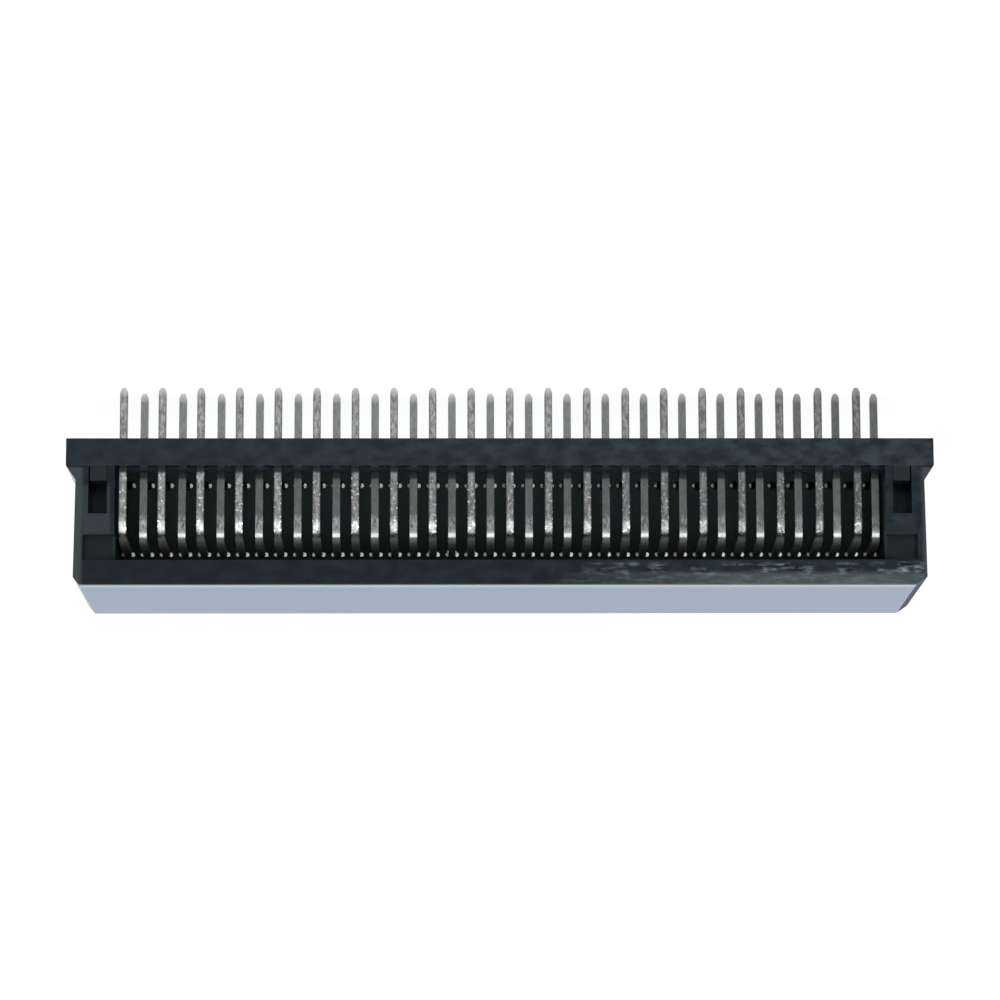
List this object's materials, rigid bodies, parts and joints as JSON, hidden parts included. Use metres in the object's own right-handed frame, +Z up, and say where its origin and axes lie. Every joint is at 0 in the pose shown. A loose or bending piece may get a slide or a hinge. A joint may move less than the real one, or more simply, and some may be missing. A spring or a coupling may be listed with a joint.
{
  "type": "card edge connector",
  "caption": "Right-angle through-hole card edge connector: black housing with a card slot, a row of fork contacts and a tail aligner that snaps into its ears.",
  "frame": {"origin": "on the board face, midway between the two rows of tails, at the middle of the contact field", "axes": "+X along the slot, +Z up from the board, the card goes in from -Y, the tails are at the rear (+Y)"},
  "size_m": [0.057, 0.0124, 0.0134],
  "materials": {
    "housing_plastic": "semi-gloss moulded black",
    "aligner_plastic": "satin moulded black",
    "contact_metal": "tin plate over copper alloy, gold at the contact points"
  },
  "bodies": {
    "root": {"housing": "housing_plastic", "tail_aligner": "aligner_plastic", "contact_01": "contact_metal", "contact_02": "contact_metal", "contact_03": "contact_metal", "contact_04": "contact_metal", "contact_05": "contact_metal", "contact_06": "contact_metal", "contact_07": "contact_metal", "contact_08": "contact_metal", "contact_09": "contact_metal", "contact_10": "contact_metal", "contact_11": "contact_metal", "contact_12": "contact_metal", "contact_13": "contact_metal", "contact_14": "contact_metal", "contact_15": "contact_metal", "contact_16": "contact_metal", "contact_17": "contact_metal", "contact_18": "contact_metal", "contact_19": "contact_metal", "contact_20": "contact_metal", "contact_21": "contact_metal", "contact_22": "contact_metal", "contact_23": "contact_metal", "contact_24": "contact_metal", "contact_25": "contact_metal", "contact_26": "contact_metal", "contact_27": "contact_metal", "contact_28": "contact_metal", "contact_29": "contact_metal", "contact_30": "contact_metal", "contact_31": "contact_metal", "contact_32": "contact_metal", "contact_33": "contact_metal", "contact_34": "contact_metal", "contact_35": "contact_metal", "contact_36": "contact_metal", "contact_37": "contact_metal", "contact_38": "contact_metal", "contact_39": "contact_metal", "contact_40": "contact_metal"}
  },
  "joints": []
}
